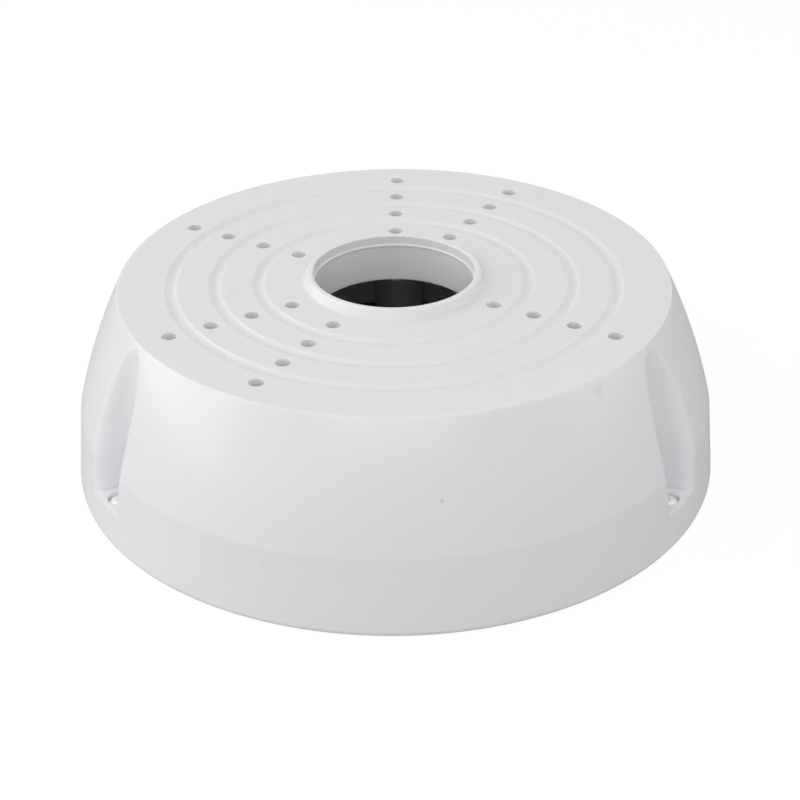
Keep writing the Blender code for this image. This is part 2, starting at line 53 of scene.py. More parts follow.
BODY = "root"
TINY = 1e-6
WHITE = (1.0, 1.0, 1.0, 1.0)
RING_ANGLE = 50.0
NOISE_MIDDLE = 0.5

Point = tuple[float, float]
Corner = tuple[float, float, float]

log = logging.getLogger("junction_box")


class Join(Enum):
    """What a Boolean does with its tool."""

    CUT = "DIFFERENCE"
    ADD = "UNION"


def pick(*pieces: bpy.types.Object) -> None:
    """Selects these pieces alone and makes the first one active."""
    bpy.ops.object.select_all(action="DESELECT")
    for piece in pieces:
        piece.select_set(True)
    bpy.context.view_layer.objects.active = pieces[0]


@contextmanager
def editing(piece: bpy.types.Object) -> Iterator[None]:
    """Edit mode on one piece, with nothing selected at the start.

    Args:
        piece: The mesh object to edit.
    """
    pick(piece)
    bpy.ops.object.mode_set(mode="EDIT")
    bpy.ops.mesh.select_mode(type="VERT")
    bpy.ops.mesh.select_all(action="DESELECT")
    yield
    bpy.ops.object.mode_set(mode="OBJECT")


def new_ring(name: str, corners: int) -> bpy.types.Object:
    """Adds a circle of unit radius, as the start of a piece.

    Args:
        name: Name of the piece.
        corners: Number of its corners.

    Returns:
        The new object, at the origin and in object mode.
    """
    bpy.ops.object.select_all(action="DESELECT")
    bpy.ops.mesh.primitive_circle_add(vertices=corners, radius=1.0, location=(0, 0, 0))
    ring = bpy.context.object
    ring.name = name
    return ring


def select_vertices(piece: bpy.types.Object, wanted: Sequence[int]) -> None:
    """Selects vertices of the piece in edit mode by their numbers.

    Args:
        piece: The piece in edit mode.
        wanted: Numbers of the vertices.
    """
    bpy.ops.mesh.select_all(action="DESELECT")
    mesh = bmesh.from_edit_mesh(piece.data)
    mesh.verts.ensure_lookup_table()
    for index in wanted:
        mesh.verts[index].select_set(True)
    mesh.select_flush_mode()
    bmesh.update_edit_mesh(piece.data)


def place_vertices(piece: bpy.types.Object, first: int, places: Sequence[Vector]) -> None:
    """Moves a run of vertices of the piece in edit mode.

    Args:
        piece: The piece in edit mode.
        first: Number of the first vertex to move.
        places: Where the vertices go.
    """
    mesh = bmesh.from_edit_mesh(piece.data)
    mesh.verts.ensure_lookup_table()
    for step, place in enumerate(places):
        mesh.verts[first + step].co = place
    bmesh.update_edit_mesh(piece.data)


def close_and_orient() -> None:
    """Merges doubles of the mesh in edit mode and turns all its faces outwards."""
    bpy.ops.mesh.select_all(action="SELECT")
    bpy.ops.mesh.remove_doubles(threshold=TINY)
    bpy.ops.mesh.normals_make_consistent(inside=False)


def lathe(name: str, profile: Sequence[Point], steps: int, ring: bool = False) -> bpy.types.Object:
    """Spins a profile round the Z axis.

    Args:
        name: Name of the piece.
        profile: (radius, height) points, ends on the axis unless it is a ring.
        steps: Sides of the full turn.
        ring: Whether the last point joins the first.

    Returns:
        The closed solid.
    """
    # The smallest circle, merged at its centre, gives the one vertex that the profile is drawn out of.
    piece = new_ring(name, 3)
    places = [Vector((radius, 0.0, height)) for radius, height in profile]
    with editing(piece):
        bpy.ops.mesh.select_all(action="SELECT")
        bpy.ops.mesh.merge(type="CENTER")
        bpy.ops.transform.translate(value=places[0])
        for before, after in zip(places, places[1:]):
            bpy.ops.mesh.extrude_region_move(TRANSFORM_OT_translate={"value": after - before})
        if ring:
            select_vertices(piece, (0, len(places) - 1))
            bpy.ops.mesh.edge_face_add()
        bpy.ops.mesh.select_all(action="SELECT")
        bpy.ops.mesh.spin(steps=steps, angle=math.tau, center=(0, 0, 0), axis=(0, 0, 1))
        close_and_orient()
    return piece


def upright(
    name: str, outline: Sequence[Point], bottom: float, top: float, top_outline: Sequence[Point] | None = None
) -> bpy.types.Object:
    """Extrudes an outline upwards.

    Args:
        name: Name of the piece.
        outline: (x, y) points round the shape.
        bottom: Height of its underside.
        top: Height of its upper side.
        top_outline: As many points for the upper side, if the piece tapers.

    Returns:
        The closed solid.
    """
    piece = new_ring(name, len(outline))
    with editing(piece):
        place_vertices(piece, 0, [Vector((x, y, bottom)) for x, y in outline])
        bpy.ops.mesh.select_all(action="SELECT")
        bpy.ops.mesh.edge_face_add()
        bpy.ops.mesh.extrude_region_move(TRANSFORM_OT_translate={"value": (0, 0, top - bottom)})
        if top_outline:
            place_vertices(piece, len(outline), [Vector((x, y, top)) for x, y in top_outline])
        close_and_orient()
    return piece


def copies(piece: bpy.types.Object, places: Sequence[Matrix]) -> list[bpy.types.Object]:
    """Copies a piece modelled at the origin to each place, with the place in each mesh.

    Args:
        piece: The piece, which is deleted at the end.
        places: One transform for each copy.

    Returns:
        The copies.
    """
    made = []
    for place in places:
        pick(piece)
        bpy.ops.object.duplicate(linked=False)
        copy = bpy.context.object
        copy.matrix_world = place
        bpy.ops.object.transform_apply(location=True, rotation=True, scale=True)
        made.append(copy)
    bpy.data.objects.remove(piece)
    return made


def joined(name: str, pieces: Sequence[bpy.types.Object]) -> bpy.types.Object:
    """Joins pieces into one object of separate bodies.

    Args:
        name: Name of the joined object.
        pieces: The pieces, at the origin.

    Returns:
        The joined object.
    """
    pick(*pieces)
    bpy.ops.object.join()
    whole = bpy.context.object
    whole.name = name
    return whole


def boolean(piece: bpy.types.Object, tool: bpy.types.Object, join: Join, meeting: bool = False) -> None:
    """Applies a Boolean and deletes its tool.

    Args:
        piece: The piece that changes.
        tool: The shape added or cut.
        join: Whether it is added or cut.
        meeting: Whether the tool's own bodies run into each other.
    """
    modifier = piece.modifiers.new("boolean", "BOOLEAN")
    modifier.operation = join.value
    modifier.solver = "EXACT"
    modifier.use_self = meeting
    modifier.object = tool
    pick(piece)
    bpy.ops.object.modifier_apply(modifier=modifier.name)
    bpy.data.objects.remove(tool)


def smooth(piece: bpy.types.Object, angle: float = 32.0) -> None:
    """Shades a piece smooth between sharp edges, with flat faces kept flat.

    Args:
        piece: The piece to shade.
        angle: Edges that turn more than this many degrees stay sharp.
    """
    pick(piece)
    bpy.ops.object.shade_smooth_by_angle(angle=math.radians(angle))
    modifier = piece.modifiers.new("weights", "WEIGHTED_NORMAL")
    modifier.mode = "FACE_AREA_WITH_ANGLE"
    modifier.keep_sharp = True
    bpy.ops.object.modifier_apply(modifier=modifier.name)


def polar(radius: float, degrees: float, height: float = 0.0) -> Vector:
    """The point at this radius, angle and height."""
    angle = math.radians(degrees)
    return Vector((radius * math.cos(angle), radius * math.sin(angle), height))


def turned(outline: Sequence[Point], degrees: float) -> list[Point]:
    """The outline turned about the origin."""
    turn = Matrix.Rotation(math.radians(degrees), 2)
    return [tuple(turn @ Vector(point)) for point in outline]


def rounded(before: Point, corner: Point, after: Point, radius: float, steps: int) -> list[Point]:
    """Points of the arc that rounds a corner.

    Args:
        before: A point on the line into the corner.
        corner: The corner.
        after: A point on the line out of the corner.
        radius: Radius of the arc.
        steps: Number of its straight pieces.

    Returns:
        The arc's points, in order.
    """
    tip = Vector(corner)
    back = (Vector(before) - tip).normalized()
    on = (Vector(after) - tip).normalized()
    half = back.angle(on) / 2
    centre = tip + (back + on).normalized() * (radius / math.sin(half))
    start = tip + back * (radius / math.tan(half)) - centre
    turn = start.angle_signed(tip + on * (radius / math.tan(half)) - centre)
    points = []
    for step in range(steps + 1):
        spoke = Matrix.Rotation(-turn * step / steps, 2) @ start
        points.append(tuple(centre + spoke))
    return points


def rounded_profile(corners: Sequence[Corner], steps: int) -> list[Point]:
    """A closed profile with each of its corners rounded.

    Args:
        corners: (radius, height, rounding) of each corner, in order. A rounding of 0 keeps it sharp.
        steps: Straight pieces in each arc.

    Returns:
        The points of the profile.
    """
    points: list[Point] = []
    for index, (radius, height, rounding) in enumerate(corners):
        before = corners[index - 1][:2]
        after = corners[(index + 1) % len(corners)][:2]
        if rounding:
            points += rounded(before, (radius, height), after, rounding, steps)
        else:
            points.append((radius, height))
    return points


def flat_ring(inner: float, outer: float, thickness: float, edge: float) -> list[Corner]:
    """The corners of a flat ring's profile, each with the same rounding."""
    square = ((inner, 0.0), (outer, 0.0), (outer, thickness), (inner, thickness))
    return [(radius, height, edge) for radius, height in square]


def turned_ring(name: str, corners: Sequence[Corner], arc_steps: int, steps: int) -> bpy.types.Object:
    """Spins a rounded profile into a ring and shades it smooth.

    Args:
        name: Name of the ring.
        corners: (radius, height, rounding) of each corner of the profile.
        arc_steps: Straight pieces in each rounding.
        steps: Sides of the full turn.

    Returns:
        The closed ring.
    """
    ring = lathe(name, rounded_profile(corners, arc_steps), steps, ring=True)
    smooth(ring, RING_ANGLE)
    return ring


def obround(length: float, width: float, at: float, steps: int) -> list[Point]:
    """A slot outline along X with round ends.

    Args:
        length: End to end.
        width: Across.
        at: Distance of its middle from the origin.
        steps: Straight pieces in each end.

    Returns:
        (x, y) points round the slot.
    """
    reach = (length - width) / 2
    points = []
    for end, first in ((reach, -90), (-reach, 90)):
        for step in range(steps + 1):
            point = polar(width / 2, first + 180 * step / steps)
            points.append((at + end + point.x, point.y))
    return points


def finish_piece(piece: bpy.types.Object, look: bpy.types.Material, slot: str, *nodes: str) -> None:
    """Dresses a piece, puts it on the body and lets it stand for its CAD nodes.

    Args:
        piece: The finished mesh, at the origin.
        look: Its material.
        slot: The record's material slot, which is not used.
        nodes: CAD nodes that it stands for.
    """
    piece.data.materials.clear()
    piece.data.materials.append(look)
    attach(piece, BODY)
    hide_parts(*nodes)
    log.info("%s stands for %s, %d faces", piece.name, ", ".join(nodes), len(piece.data.polygons))


class NodeGraph:
    """Short ways to add and join shader nodes."""

    def __init__(self, tree: bpy.types.NodeTree) -> None:
        """Takes the node tree to work in."""
        self.tree = tree

    def add(self, kind: str, **settings: object) -> bpy.types.Node:
        """Adds a node.

        Args:
            kind: The node's type, such as ShaderNodeBump.
            settings: Its properties, and its input sockets by name with underscores for spaces.

        Returns:
            The node.
        """
        node = self.tree.nodes.new(kind)
        for name, value in settings.items():
            if hasattr(node, name):
                setattr(node, name, value)
            else:
                node.inputs[name.replace("_", " ")].default_value = value
        return node

    def link(self, start: bpy.types.NodeSocket, end: bpy.types.NodeSocket) -> None:
        """Joins an output to an input."""
        self.tree.links.new(start, end)

    def math(self, operation: str, *values: object, clamp: bool = False) -> bpy.types.NodeSocket:
        """A Math node whose inputs are sockets or numbers.

        Args:
            operation: The node's operation.
            values: Its inputs in order, as many as the operation has.
            clamp: Whether the result stays within 0 and 1.

        Returns:
            The output socket.
        """
        node = self.add("ShaderNodeMath", operation=operation, use_clamp=clamp)
        for socket, value in zip(node.inputs, values):
            if isinstance(value, bpy.types.NodeSocket):
                self.link(value, socket)
            else:
                socket.default_value = value
        return node.outputs[0]

    def mix(self, *sockets: bpy.types.NodeSocket) -> bpy.types.NodeSocket:
        """A Mix Shader node from the share of the second shader and the two shaders."""
        node = self.add("ShaderNodeMixShader")
        for start, end in zip(sockets, node.inputs):
            self.link(start, end)
        return node.outputs[0]


def grain_group(
    grain_detail: float = 2.0, wave_detail: float = 1.0, gloss_spread: float = 0.12
) -> bpy.types.NodeTree:
    """Builds the group that gives a surface its fine grain and slow waves.

    Args:
        grain_detail: Detail of the grain's noise.
        wave_detail: Detail of the waves' noise.
        gloss_spread: How strongly the grain changes the gloss.

    Returns:
        A group with Vector, Grain Size, Grain Height, Wave Size, Wave Height and Tint Spread in, and
        Height, Shade and Gloss out. Height is in metres. Shade and Gloss lie near 1.
    """
    group = bpy.data.node_groups.new("moulded_grain", "ShaderNodeTree")
    face = group.interface
    face.new_socket("Vector", in_out="INPUT", socket_type="NodeSocketVector")
    for name, value in (
        ("Grain Size", 0.4 * MM),
        ("Grain Height", 0.004 * MM),
        ("Wave Size", 30 * MM),
        ("Wave Height", 0.04 * MM),
        ("Tint Spread", 0.01),
    ):
        face.new_socket(name, in_out="INPUT", socket_type="NodeSocketFloat").default_value = value
    for name in ("Height", "Shade", "Gloss"):
        face.new_socket(name, in_out="OUTPUT", socket_type="NodeSocketFloat")
    graph = NodeGraph(group)
    source = graph.add("NodeGroupInput").outputs
    target = graph.add("NodeGroupOutput").inputs

    def noise(size: str, detail: float) -> bpy.types.NodeSocket:
        """Noise whose patches have the size that a socket gives, from -0.5 to 1.5."""
        node = graph.add("ShaderNodeTexNoise", Detail=detail)
        graph.link(source["Vector"], node.inputs["Vector"])
        graph.link(graph.math("DIVIDE", 1.0, source[size]), node.inputs["Scale"])
        return graph.math("MULTIPLY_ADD", node.outputs["Fac"], 2.0, -0.5)

    grain = noise("Grain Size", grain_detail)
    wave = noise("Wave Size", wave_detail)
    grain_height = graph.math("MULTIPLY", grain, source["Grain Height"])
    wave_height = graph.math("MULTIPLY", wave, source["Wave Height"])
    graph.link(graph.math("ADD", grain_height, wave_height), target["Height"])
    shade = graph.math("ADD", graph.math("MULTIPLY", wave, source["Tint Spread"]), 1.0)
    graph.link(shade, target["Shade"])
    gloss = graph.math("ADD", graph.math("MULTIPLY", grain, gloss_spread), 1.0)
    graph.link(gloss, target["Gloss"])
    return group


def speck_group(patches: float = 2.0, detail: float = 3.0) -> bpy.types.NodeTree:
    """Builds the group that darkens a surface at one small mark.

    Args:
        patches: Patches of noise across the reach of the mark.
        detail: Detail of that noise, which makes the mark's edge uneven.

    Returns:
        A group with Vector, Centre, Size and Strength in, and Shade out, which is 1 away from the mark.
    """
    group = bpy.data.node_groups.new("speck", "ShaderNodeTree")
    face = group.interface
    face.new_socket("Vector", in_out="INPUT", socket_type="NodeSocketVector")
    face.new_socket("Centre", in_out="INPUT", socket_type="NodeSocketVector")
    for name, value in (("Size", 1.0 * MM), ("Strength", 0.1)):
        face.new_socket(name, in_out="INPUT", socket_type="NodeSocketFloat").default_value = value
    face.new_socket("Shade", in_out="OUTPUT", socket_type="NodeSocketFloat")
    graph = NodeGraph(group)
    source = graph.add("NodeGroupInput").outputs
    target = graph.add("NodeGroupOutput").inputs
    away = graph.add("ShaderNodeVectorMath", operation="DISTANCE")
    graph.link(source["Vector"], away.inputs[0])
    graph.link(source["Centre"], away.inputs[1])
    rough = graph.add("ShaderNodeTexNoise", Detail=detail)
    graph.link(source["Vector"], rough.inputs["Vector"])
    graph.link(graph.math("DIVIDE", patches, source["Size"]), rough.inputs["Scale"])
    reach = graph.math("DIVIDE", away.outputs["Value"], source["Size"])
    uneven = graph.math("ADD", reach, graph.math("SUBTRACT", rough.outputs["Fac"], NOISE_MIDDLE))
    inside = graph.math("SUBTRACT", 1.0, uneven, clamp=True)
    dark = graph.math("MULTIPLY", inside, source["Strength"])
    graph.link(graph.math("SUBTRACT", 1.0, dark), target["Shade"])
    return group


@dataclass(frozen=True)
class Effects:
    """The node groups that the finishes share."""

    grain: bpy.types.NodeTree
    speck: bpy.types.NodeTree


@dataclass(frozen=True)
class Mark:
    """A small stain on the surface: where it lies, its reach and how much darker it is."""

    place: tuple[float, float, float]
    size: float
    strength: float


@dataclass(frozen=True)
class Finish:
    """A surface with fine grain and slow waves, and with small marks and pores if it has them."""

    name: str
    colour: tuple[float, float, float]
    roughness: float
    grain_size: float = 0.4 * MM
    grain_height: float = 0.004 * MM
    wave_size: float = 25 * MM
    wave_height: float = 0.03 * MM
    tint_spread: float = 0.01
    pores: float = 0.0
    pore_depth: float = 0.6
    marks: tuple[Mark, ...] = ()

    def set_shader(self, shader: bpy.types.Node) -> None:
        """Sets the numbers of the shader that belong to this kind of finish."""
        raise NotImplementedError

    def material(self, effects: Effects) -> bpy.types.Material:
        """Builds the material.

        Args:
            effects: The shared node groups.

        Returns:
            The material.
        """
        look = bpy.data.materials.new(self.name)
        look.use_nodes = True
        graph = NodeGraph(look.node_tree)
        shader = look.node_tree.nodes["Principled BSDF"]
        self.set_shader(shader)
        place = graph.add("ShaderNodeTexCoord").outputs["Object"]
        surface = graph.add("ShaderNodeGroup", node_tree=effects.grain)
        graph.link(place, surface.inputs["Vector"])
        surface.inputs["Grain Size"].default_value = self.grain_size
        surface.inputs["Grain Height"].default_value = self.grain_height
        surface.inputs["Wave Size"].default_value = self.wave_size
        surface.inputs["Wave Height"].default_value = self.wave_height
        surface.inputs["Tint Spread"].default_value = self.tint_spread
        tint = graph.add("ShaderNodeVectorMath", operation="SCALE")
        tint.inputs[0].default_value = self.colour
        shade = self.marked(graph, effects.speck, place, surface.outputs["Shade"])
        graph.link(shade, tint.inputs["Scale"])
        graph.link(tint.outputs[0], shader.inputs["Base Color"])
        roughness = graph.math("MULTIPLY", surface.outputs["Gloss"], self.roughness, clamp=True)
        graph.link(roughness, shader.inputs["Roughness"])
        bump = graph.add("ShaderNodeBump", Distance=1.0)
        graph.link(self.pitted(graph, place, surface.outputs["Height"]), bump.inputs["Height"])
        graph.link(bump.outputs["Normal"], shader.inputs["Normal"])
        return look

    def marked(
        self,
        graph: NodeGraph,
        speck: bpy.types.NodeTree,
        place: bpy.types.NodeSocket,
        shade: bpy.types.NodeSocket,
    ) -> bpy.types.NodeSocket:
        """The shade with the finish's marks on it.

        Args:
            graph: The material's nodes.
            speck: The shared group of one mark.
            place: Coordinates.
            shade: Shade before the marks.

        Returns:
            Shade that is darker at each mark.
        """
        for mark in self.marks:
            spot = graph.add("ShaderNodeGroup", node_tree=speck)
            graph.link(place, spot.inputs["Vector"])
            spot.inputs["Centre"].default_value = mark.place
            spot.inputs["Size"].default_value = mark.size
            spot.inputs["Strength"].default_value = mark.strength
            shade = graph.math("MULTIPLY", shade, spot.outputs["Shade"])
        return shade

    def pitted(
        self, graph: NodeGraph, place: bpy.types.NodeSocket, height: bpy.types.NodeSocket
    ) -> bpy.types.NodeSocket:
        """The height with the pores of a foam cut into it.

        Args:
            graph: The material's nodes.
            place: Coordinates.
            height: Height before the pores.

        Returns:
            Height with pores, if the finish has them.
        """
        if not self.pores:
            return height
        cells = graph.add("ShaderNodeTexVoronoi", Scale=1.0 / self.pores)
        graph.link(place, cells.inputs["Vector"])
        depth = graph.math("MULTIPLY", cells.outputs["Distance"], self.pores * self.pore_depth)
        return graph.math("ADD", height, depth)


@dataclass(frozen=True)
class Moulded(Finish):
    """A moulded finish: plastic, rubber or foam."""

    specular: float = 0.5
    scatter: float = 0.0
    scatter_depth: float = 1.0 * MM

    def set_shader(self, shader: bpy.types.Node) -> None:
        """Sets how strongly the surface reflects, and how far light scatters under it."""
        shader.inputs["Specular IOR Level"].default_value = self.specular
        shader.inputs["Subsurface Weight"].default_value = self.scatter
        shader.inputs["Subsurface Radius"].default_value = (1.0, 1.0, 1.0)
        shader.inputs["Subsurface Scale"].default_value = self.scatter_depth


@dataclass(frozen=True)
class Metal(Finish):
    """A metal finish with a very fine grain, and with waves in its tint alone."""

    grain_size: float = 0.12 * MM
    grain_height: float = 0.002 * MM
    wave_size: float = 30 * MM
    wave_height: float = 0.0
    tint_spread: float = 0.02

    def set_shader(self, shader: bpy.types.Node) -> None:
        """Makes the shader a metal."""
        shader.inputs["Metallic"].default_value = 1.0


HANDLING_MARKS = (
    Mark((43.3 * MM, -47.7 * MM, 44.1 * MM), 1.9 * MM, 0.11),
    Mark((-36.5 * MM, -7.7 * MM, 46.5 * MM), 0.5 * MM, 0.25),
    Mark((10.6 * MM, -69.2 * MM, 30.4 * MM), 0.6 * MM, 0.25),
    Mark((0.6 * MM, -41.5 * MM, 46.5 * MM), 0.5 * MM, 0.2),
    Mark((48.6 * MM, 12.9 * MM, 46.5 * MM), 0.5 * MM, 0.22),
    Mark((-10.8 * MM, -30.3 * MM, 46.5 * MM), 0.6 * MM, 0.22),
    Mark((-26.3 * MM, -69.0 * MM, 14.3 * MM), 0.6 * MM, 0.07),
    Mark((21.2 * MM, -64.6 * MM, 35.9 * MM), 0.6 * MM, 0.07),
    Mark((23.5 * MM, -70.1 * MM, 13.6 * MM), 0.6 * MM, 0.07),
    Mark((-18.7 * MM, -70.2 * MM, 22.0 * MM), 0.5 * MM, 0.07),
)
WHITE_PLASTIC = Moulded("white_plastic", (0.857, 0.851, 0.872), 0.2, scatter=0.6, marks=HANDLING_MARKS)
BLACK_PLASTIC = Moulded("black_plastic", (0.02, 0.02, 0.022), 0.42, grain_height=0.012 * MM)
BLACK_RUBBER = Moulded("black_rubber", (0.025, 0.025, 0.026), 0.7, grain_height=0.01 * MM, tint_spread=0.1)
GREY_FOAM = Moulded("grey_foam", (0.09, 0.09, 0.092), 0.95, tint_spread=0.15, specular=0.2, pores=0.7 * MM)
STEEL = Metal("stainless_steel", (0.84, 0.84, 0.85), 0.55)
BRASS = Metal("brass", (0.72, 0.52, 0.22), 0.32)


@dataclass
class Pocket:
    """An upright U-shaped screw pocket in the side of the housing, with a rounded border."""

    angles: tuple[int, ...] = (90, 210, 330)
    radius: float = 4.8 * MM
    spread: float = 1.6 * MM
    ring: float = 70.2 * MM
    border: float = 2.8 * MM
    foot_border: float = 2.0 * MM
    ledge_height: float = 9.5 * MM
    full_height: float = 18.6 * MM
    plate_height: float = 46.5 * MM
    wall: float = 2.0 * MM
    arc_steps: int = 24
    border_steps: int = 7
    closed_width: float = 1.0 * MM

    def border_at(self, height: float) -> float:
        """Rounding of the border, full above the belt and smaller at the ledge."""
        share = (height - self.ledge_height) / (self.full_height - self.ledge_height)
        return self.foot_border + (self.border - self.foot_border) * min(1.0, max(0.0, share))

    def radius_at(self, height: float) -> float:
        """Radius of the pocket, which widens from its ledge up to the plate."""
        rise = self.plate_height - self.ledge_height
        return self.radius + self.spread * (height - self.ledge_height) / rise

    def corner_count(self) -> int:
        """Points in half a pocket's path."""
        return self.border_steps + self.arc_steps // 2 + 2

    def plain_half(self, radius: float, width: float) -> list[Point]:
        """Half of an arc of the outer circle, with as many points as a pocket has.

        Args:
            radius: Radius of the outer circle.
            width: Half of the arc's angle, in radians.

        Returns:
            (outwards, sideways) points down to the middle.
        """
        last = self.corner_count() - 1
        points = []
        for step in range(last + 1):
            angle = width * (1 - step / last)
            points.append((radius * math.cos(angle), radius * math.sin(angle)))
        return points

    def half_path(self, radius: float, height: float) -> list[Point]:
        """Half of the pocket at one height, from the outside round its border into its middle.

        Args:
            radius: Radius of the housing at this height.
            height: The height.

        Returns:
            (outwards, sideways) points, with the pocket along +X.
        """
        border = self.border_at(height)
        hollow = self.radius_at(height)
        if radius <= self.ring - hollow + TINY:
            return self.plain_half(radius, self.closed_width / radius)
        reach = hollow + border
        inner = radius - border
        outwards = (inner**2 - reach**2 + self.ring**2) / (2 * self.ring)
        in_arc = outwards < self.ring
        if in_arc:
            sideways = math.sqrt(max(0.0, inner**2 - outwards**2))
            last = math.atan2(-sideways, self.ring - outwards)
        else:
            sideways = reach
            outwards = math.sqrt(inner**2 - reach**2)
            last = -math.pi / 2
        first = math.atan2(sideways, outwards)
        points = []
        for step in range(self.border_steps + 1):
            angle = first + (last - first) * step / self.border_steps
            points.append((outwards + border * math.cos(angle), sideways + border * math.sin(angle)))
        half_steps = self.arc_steps // 2
        for step in range(half_steps + 1):
            if in_arc:
                angle = math.pi + last * (1 - (step + 1) / (half_steps + 1))
            else:
                angle = math.pi / 2 * (1 + step / half_steps)
            points.append((self.ring + hollow * math.cos(angle), hollow * math.sin(angle)))
        return points

    def column_outline(self, height: float, outside: float, degrees: float) -> list[Point]:
        """The outline of the wall round one pocket.

        Args:
            height: Its height.
            outside: A radius beyond the skirt.
            degrees: Direction of the pocket.

        Returns:
            (x, y) points round it.
        """
        reach = self.radius_at(height) + self.wall
        outline: list[Point] = [(outside, -reach), (outside, reach)]
        for step in range(self.arc_steps + 1):
            point = polar(reach, 90 + 180 * step / self.arc_steps)
            outline.append((self.ring + point.x, point.y))
        return turned(outline, degrees)

    def column(self, bottom: float, top: float, outside: float) -> bpy.types.Object:
        """The wall round the three pockets, as it stands inside the housing.

        Args:
            bottom: Height of its foot.
            top: Height of its upper end.
            outside: A radius beyond the skirt.

        Returns:
            Three upright columns in one object.
        """
        walls = []
        for angle in self.angles:
            low = self.column_outline(bottom, outside, angle)
            high = self.column_outline(top, outside, angle)
            walls.append(upright("column", low, bottom, top, high))
        return joined("columns", walls)

    def places(self, height: float) -> list[Matrix]:
        """Where the screws stand, each turned to face outwards."""
        made = []
        for angle in self.angles:
            turn = Matrix.Rotation(math.radians(angle), 4, "Z")
            made.append(Matrix.Translation(polar(self.ring, angle, height)) @ turn)
        return made


@dataclass
class ScrewStack:
    """Heights and radii of a cover screw, its washer, insert and post, from the wall up."""

    head_radius: float = 2.9 * MM
    head_height: float = 1.8 * MM
    head_edge: float = 0.8 * MM
    shank_radius: float = 1.3 * MM
    shank_bottom: float = 1.6 * MM
    head_bottom: float = 7.4 * MM
    washer_bottom: float = 6.8 * MM
    washer_thickness: float = 0.5 * MM
    seat_radius: float = 3.05 * MM
    seat_floor: float = 6.7 * MM
    relief_radius: float = 3.2 * MM
    relief_top: float = 4.8 * MM
    clearance_radius: float = 1.6 * MM
    insert_radius: float = 2.05 * MM
    insert_bottom: float = 1.0 * MM
    insert_top: float = 4.3 * MM
    post_radius: float = 2.9 * MM
    post_top: float = 4.5 * MM
    post_foot: float = 0.3 * MM
    insert_hole: float = 2.15 * MM
    insert_floor: float = 0.9 * MM


